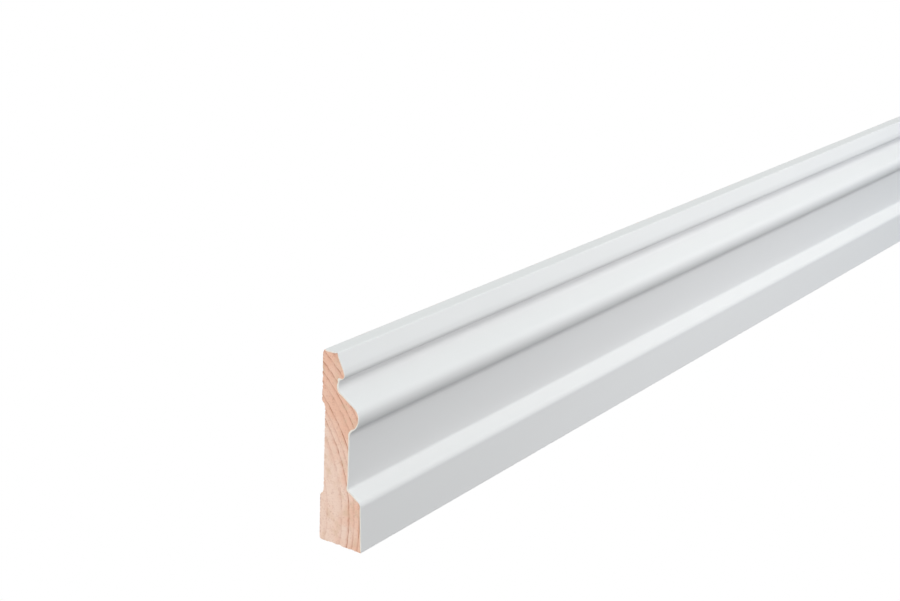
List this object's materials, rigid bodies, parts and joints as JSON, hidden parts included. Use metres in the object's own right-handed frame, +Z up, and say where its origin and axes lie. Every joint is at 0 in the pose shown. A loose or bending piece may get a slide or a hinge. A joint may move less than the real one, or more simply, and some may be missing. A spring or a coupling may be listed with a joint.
{
  "type": "skirting board",
  "caption": "Length of moulded skirting board with a plain foot, flat fascia, torus and top bead, primed white on the front, with bare sawn ends and a relieved back.",
  "frame": {"origin": "middle of the underside, halfway along the length", "axes": "+X along the length, -Y is the moulded front that faces the room, +Y is the back that lies against the wall, +Z up"},
  "size_m": [0.55, 0.018, 0.069],
  "materials": {
    "primed_wood": "factory primer, cool satin white, smooth, on the top and the moulded front; the square sawn ends show bare peach-coloured pine with curved growth rings, and the back and the underside are bare planed pine"
  },
  "bodies": {
    "root": {"skirting_board": "primed_wood"}
  },
  "joints": []
}
